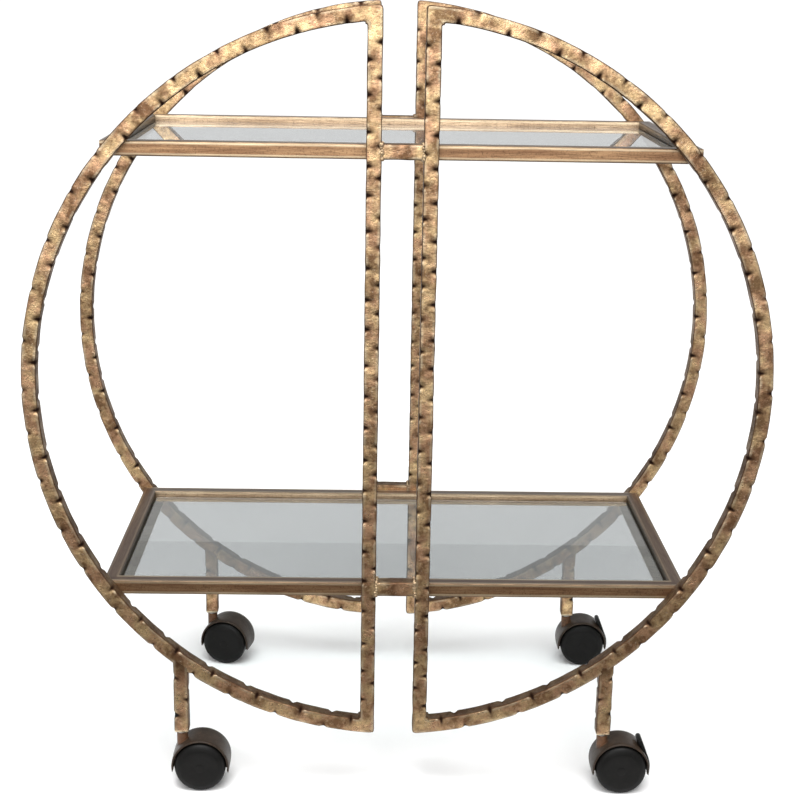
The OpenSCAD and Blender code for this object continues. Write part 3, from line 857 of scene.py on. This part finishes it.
def moulding_group():
    """Moulded plastic skin: soft cloudiness, rubbed patches and a fine sparkle grain."""
    tree, source, result = effect(
        "moulding", [("Vector", "NodeSocketVector", None)], ["Cloud", "Rub", "Grain"])
    vector = source.outputs["Vector"]
    link(noise(vector, 60, 3), result.inputs["Cloud"])
    link(spread(noise(vector, 210, 5, 0.75), 0.5, 0.7), result.inputs["Rub"])
    link(noise(vector, 2200, 2), result.inputs["Grain"])
    return tree


PATINA = patina_group()
GRAIN = grain_group()
MOULDING = moulding_group()


def surface(name, **sockets):
    """New material with its shader's sockets set; gives it, the shader and object coordinates."""
    material = bpy.data.materials.new(name)
    material.use_nodes = True
    tree = material.node_tree
    shader = next(n for n in tree.nodes if n.type == "BSDF_PRINCIPLED")
    for key, value in sockets.items():
        shader.inputs[key.replace("_", " ")].default_value = value
    coordinates = add(tree, "ShaderNodeTexCoord").outputs["Object"]
    return material, shader, coordinates


def by_ray(tree, ray, usual, special, finish):
    """Feeds the tree's final node with one shader, or with another for one kind of ray."""
    choice = add(tree, "ShaderNodeMixShader")
    final = next(n for n in tree.nodes if n.type == finish)
    link(add(tree, "ShaderNodeLightPath").outputs[ray], choice.inputs["Fac"])
    link(usual, choice.inputs[1])
    link(special, choice.inputs[2])
    link(choice.outputs["Shader"], final.inputs["Surface"])


def feed(shader, colour, roughness):
    """Feeds a colour and a roughness into the shader."""
    link(colour, shader.inputs["Base Color"])
    link(roughness, shader.inputs["Roughness"])


def relief(shader, height, strength, distance):
    """Feeds a height into the shader's normal through a bump."""
    bump = add(shader.id_data, "ShaderNodeBump")
    bump.inputs["Strength"].default_value = strength
    bump.inputs["Distance"].default_value = distance
    link(height, bump.inputs["Height"])
    link(bump.outputs["Normal"], shader.inputs["Normal"])


def mark(shader, name):
    """A mask stored on the mesh, for this shader's tree."""
    return add(shader.id_data, "ShaderNodeAttribute", attribute_name=name).outputs["Fac"]


def hammered_brass():
    """Antique brass on hammered tube: yellow and copper gold with brown blotches and dark specks, sooty
    nicks, and painted light and shade: a brown smear of painted shade along the dark edges and above
    the nicks, partly tarnish, painted highlights on the rims below the nicks and in a bright line
    beside the edges, and painted shade on the sides."""
    material, shader, place = surface("hammered_brass", Metallic=0.86, Specular_IOR_Level=0.4)
    patina = use(PATINA, place, Size=1.0)
    copper_part = spread(noise(place, 45, 2), 0.4, 0.6)
    colour = mixed(copper_part, paint(222, 190, 142), paint(205, 162, 126))
    colour = laid_over(colour, patina.outputs["Blotch"], 0.85, paint(92, 62, 38))
    colour = laid_over(colour, patina.outputs["Speck"], 0.6, paint(62, 42, 28))
    colour = laid_over(colour, patina.outputs["Glint"], 0.55, paint(244, 226, 198))
    # Painted shade on the side faces
    colour = laid_over(colour, mark(shader, "side"), 0.78, paint(62, 48, 36))
    # Painted shade: brown along the edges and just above the nicks, partly tarnish
    colour = laid_over(colour, mark(shader, "shade_smear"), 0.75, paint(70, 44, 26))
    colour = mixed(spread(mark(shader, "soot"), 0.1, 0.72), colour, paint(40, 22, 12))
    # Painted highlight: near-white cream on the rims below the nicks and beside the edges
    highlight = spread(mark(shader, "painted_highlight"), 0.1, 1.0, 0.0, 0.95)
    colour = mixed(highlight, colour, paint(255, 240, 206))
    dull = plus(times(mark(shader, "soot"), 0.5), times(mark(shader, "side"), 0.22))
    rough = plus(spread(patina.outputs["Blotch"], 0, 1, 0.26, 0.44), dull)
    feed(shader, colour, rough)
    height = plus(times(patina.outputs["Blotch"], 0.6),
                  times(patina.outputs["Fine"], 0.4))
    relief(shader, height, 0.8, 0.0009)
    return material


def rail_brass(name, squeeze, light, dark):
    """Brushed antique brass on the shelf rails: fine lengthwise lines over gold and copper streaks, a
    painted highlight line beside each edge, painted shade on the edges and on the side rails' inner
    faces, greyer level faces and burnt spots at the welded ends."""
    material, shader, place = surface(name, Metallic=0.84, Specular_IOR_Level=0.5)
    grain = use(GRAIN, place, Squeeze=squeeze)
    patina = use(PATINA, place, Size=1.3)
    colour = mixed(grain.outputs["Broad"], light, dark)
    lines = spread(grain.outputs["Line"], 0.42, 0.75, 0, 0.75)
    colour = mixed(lines, colour, paint(84, 60, 44))
    colour = laid_over(colour, patina.outputs["Speck"], 0.7, paint(66, 46, 34))
    colour = laid_over(colour, mark(shader, "level_face"), 0.85, paint(88, 76, 70))
    # Painted shade: near black on the side rails' inner faces and along the edges
    colour = laid_over(colour, mark(shader, "shaded_inside"), 0.9, paint(24, 20, 17))
    colour = laid_over(colour, mark(shader, "weld"), patina.outputs["Blotch"], paint(48, 32, 22))
    # Painted highlight: a bright line beside each edge
    highlight_strength = spread(grain.outputs["Broad"], 0, 1, 0.9, 0.45)
    colour = laid_over(colour, mark(shader, "edge"), highlight_strength, paint(250, 232, 196))
    feed(shader, colour, spread(grain.outputs["Line"], 0.3, 0.7, 0.28, 0.44))
    relief(shader, grain.outputs["Line"], 0.4, 0.0003)
    return material


def bare_metal(name, metallic, squeeze, output, light, dark, rough_low, rough_high):
    """Bare metal in two close shades that follow the brushing."""
    material, shader, place = surface(name, Metallic=metallic)
    grain = use(GRAIN, place, Squeeze=squeeze)
    shade = mixed(grain.outputs[output], light, dark)
    feed(shader, shade, spread(grain.outputs["Line"], 0.3, 0.7, rough_low, rough_high))
    return material, shader, grain


def ledge_strip():
    """Plated ledge strip, pale and dull with light brushing."""
    material, shader, grain = bare_metal("ledge_metal", 0.6, (0.2, 0.2, 1.0), "Broad",
                                         paint(176, 166, 150), paint(148, 134, 116), 0.4, 0.6)
    relief(shader, grain.outputs["Line"], 0.3, 0.0002)
    return material


def plastic(name, light, dark, rubbed, rough_low, rough_high, neck=None):
    """Moulded plastic: two close shades in soft clouds, paler rubbed patches and fine grain; with a
    neck colour, the part marked as neck takes it in blotches."""
    material, shader, place = surface(name, Metallic=0.0, Specular_IOR_Level=0.15)
    skin_marks = use(MOULDING, place)
    colour = mixed(skin_marks.outputs["Cloud"], light, dark)
    colour = laid_over(colour, skin_marks.outputs["Rub"], 0.35, rubbed)
    if neck:
        blotches = spread(skin_marks.outputs["Rub"], 0, 1, 0.75, 0.2)
        colour = laid_over(colour, mark(shader, "neck"), blotches, neck)
    roughness = spread(skin_marks.outputs["Cloud"], 0.3, 0.7, rough_low, rough_high)
    feed(shader, colour, roughness)
    relief(shader, skin_marks.outputs["Grain"], 0.25, 0.0002)
    return material


def steel():
    """Turned steel with fine rings of brightness."""
    return bare_metal("steel", 1.0, (0.15, 0.15, 1.0), "Line", paint(214, 206, 196),
                      paint(150, 142, 134), 0.22, 0.42)[0]


def glass():
    """Greyish glass with a faint milky film that roughens it in places. Light passes through it to the
    floor, because it stands as clear to shadow rays."""
    material, shader, place = surface("glass", Metallic=0.0, Transmission_Weight=0.86, IOR=1.5)
    film = noise(place, 14, 4)
    tint = mixed(film, paint(172, 175, 175), paint(165, 169, 170))
    feed(shader, tint, spread(film, 0.35, 0.7, 0.001, 0.006))
    tree = material.node_tree
    clear = add(tree, "ShaderNodeBsdfTransparent")
    clear.inputs["Color"].default_value = (0.82, 0.84, 0.84, 1.0)
    by_ray(tree, "Is Shadow Ray", shader.outputs["BSDF"], clear.outputs["BSDF"], "OUTPUT_MATERIAL")
    return material


def matt(name, specular, light, dark, tone_scale, rough_scale, rough_low):
    """Matt surface in two close shades with a mottled roughness."""
    material, shader, place = surface(name, Metallic=0.0, Specular_IOR_Level=specular)
    tone = mixed(noise(place, tone_scale, 2), light, dark)
    feed(shader, tone, spread(noise(place, rough_scale, 2), 0, 1, rough_low, 0.95))
    return material


HAMMERED = hammered_brass()
# One brass in three copies with painted light and shade: the back rails lighter, the front rails
# darker, the side rails between
RAIL_FRONT = rail_brass("rail_brass_front", (0.05, 1.0, 1.0), paint(174, 138, 102), paint(136, 101, 73))
RAIL_BACK = rail_brass("rail_brass_back", (0.05, 1.0, 1.0), paint(214, 186, 154), paint(186, 158, 128))
RAIL_SIDE = rail_brass("rail_brass_side", (1.0, 0.05, 1.0), paint(182, 150, 116), paint(140, 108, 82))
RAIL_LIGHTING = {"front": RAIL_FRONT, "back": RAIL_BACK, "left": RAIL_SIDE, "right": RAIL_SIDE}
LEDGE = ledge_strip()
BLACK_PLASTIC = plastic("black_plastic", paint(15, 14, 13), paint(8, 8, 7), paint(27, 25, 23),
                        0.38, 0.52)
HOOD_BRONZE = plastic("hood_bronze", paint(54, 44, 36), paint(34, 28, 23), paint(84, 66, 52),
                      0.3, 0.44, neck=paint(112, 80, 58))
STEEL = steel()
GLASS = glass()


# ---------------------------------------------------------------- build

def finish_node(name, material):
    """Gives a CAD node that keeps its own shape its material."""
    slots = frame["nodes"][name].data.materials
    slots.clear()
    slots.append(material)


build_rings()
for level in ("upper", "lower"):
    for side in ("front", "back", "left", "right"):
        rail_piece(level, side)
    glass_piece(level)
    finish_node(f"{level}_ledge", LEDGE)
for front in ("front", "back"):
    for side in ("left", "right"):
        hood_piece(front, side)
        stem_piece(front, side)
        wheel_piece(front, side, "outer")
        wheel_piece(front, side, "inner")
        finish_node(f"{front}_{side}_axle", STEEL)
        finish_node(f"{front}_{side}_socket", BLACK_PLASTIC)
    lever_piece(front, "right")
    finish_node(f"{front}_right_brake_pin", STEEL)


# ---------------------------------------------------------------- stage

CLOTH_COLS = 60
CLOTH_ROWS = 40


def plain_mesh(name, points, faces, material):
    """Mesh object for the stage."""
    mesh = bpy.data.meshes.new(name)
    mesh.from_pydata(points, [], faces)
    mesh.materials.append(material)
    return placed(name, mesh)


def make_floor():
    """Large flat floor under the wheels."""
    half = 900.0
    corners = [[-half, -half, 0], [half, -half, 0], [half, half, 0], [-half, half, 0]]
    floor = plain_mesh("floor", corners, [[0, 1, 2, 3]],
                       matt("floor", 0.0, paint(250, 250, 250), paint(246, 246, 246), 3, 9, 0.85))


def make_cloth():
    """Dark cloth lying in front of the cart, beyond the camera's view: the lower faces of the tubes and
    the wheels mirror it, with waves that follow the product of two sines. It isn't seen itself."""
    xs = np.linspace(-1.6, 1.6, CLOTH_COLS)
    ys = np.linspace(-2.4, -0.29, CLOTH_ROWS)
    grid_x, grid_y = np.meshgrid(xs, ys)
    grid_z = 0.004 + 0.003 * np.sin(9 * grid_x) * np.sin(7 * grid_y + 2 * grid_x)
    points = np.stack([grid_x, grid_y, grid_z], -1).reshape(-1, 3)
    first = (np.arange(CLOTH_ROWS - 1)[:, None] * CLOTH_COLS + np.arange(CLOTH_COLS - 1)).reshape(-1)
    faces = np.stack([first, first + 1, first + 1 + CLOTH_COLS, first + CLOTH_COLS], -1)
    weave = matt("dark_cloth", 0.1, paint(44, 42, 40), paint(30, 28, 27), 40, 90, 0.8)
    cloth = plain_mesh("dark_cloth", points.tolist(), faces.tolist(), weave)
    cloth.visible_camera = False
    cloth.visible_diffuse = False
    cloth.visible_shadow = False
    cloth.visible_transmission = False


def make_light(name, place, aim, width, height, power):
    """Soft rectangular light that faces a point and isn't seen itself."""
    data = bpy.data.lights.new(name, "AREA")
    data.shape = "RECTANGLE"
    data.size = width
    data.size_y = height
    data.energy = power
    lamp = placed(name, data)
    lamp.location = place
    lamp.rotation_euler = (Vector(aim) - Vector(place)).to_track_quat("-Z", "Y").to_euler()
    lamp.visible_camera = False


def make_sun(tilt, turn, strength, angle):
    """Wide soft sun that lights the floor evenly."""
    data = bpy.data.lights.new("sky_wash", "SUN")
    data.energy = strength
    data.angle = math.radians(angle)
    sun = placed("sky_wash", data)
    sun.rotation_euler = (math.radians(tilt), 0, math.radians(turn))


def make_world(colour, strength):
    """Even pale surroundings that look white where they are seen past the floor's edge."""
    world = bpy.data.worlds.new("studio")
    world.use_nodes = True
    tree = world.node_tree
    background = next(n for n in tree.nodes if n.type == "BACKGROUND")
    seen = add(tree, "ShaderNodeBackground")
    for node, power in ((background, strength), (seen, 1.0)):
        node.inputs["Color"].default_value = colour
        node.inputs["Strength"].default_value = power
    by_ray(tree, "Is Camera Ray", background.outputs["Background"], seen.outputs["Background"],
           "OUTPUT_WORLD")
    bpy.context.scene.world = world


def make_camera():
    """Camera a little above the cart's top, turned a hair to the right, looking down on the shelves."""
    place = Vector((-0.0335, -1.8649, 0.934))
    yaw = 0.0209
    pitch = 0.264
    roll = -0.0173
    ahead = Vector((math.sin(yaw) * math.cos(pitch), math.cos(yaw) * math.cos(pitch), -math.sin(pitch)))
    level_right = Vector((math.cos(yaw), -math.sin(yaw), 0))
    level_up = level_right.cross(ahead)
    right = level_right * math.cos(roll) - level_up * math.sin(roll)
    up = level_right * math.sin(roll) + level_up * math.cos(roll)
    data = bpy.data.cameras.new("camera")
    data.lens = 69.96
    data.sensor_width = 36
    data.clip_start = 0.05
    data.clip_end = 3000
    camera = placed("camera", data)
    axes = Matrix((right, up, -ahead)).transposed().to_4x4()
    camera.matrix_world = Matrix.Translation(place) @ axes
    bpy.context.scene.camera = camera


make_floor()
make_cloth()
make_world((1.0, 1.0, 1.0, 1.0), 0.42)
make_sun(20, 15, 2.5, 40)
make_light("front_soft", (-0.3, -2.5, 1.42), (0, 0, 0.85), 2.6, 1.2, 38)
make_light("top_soft", (-0.5, -0.7, 2.2), (0, 0, 0.5), 1.2, 0.9, 22)
make_light("back_card", (0, 3.4, 0.8), (0, 0, 0.8), 8.0, 1.44, 11.5)
make_camera()
bpy.context.scene.view_settings.view_transform = "Standard"
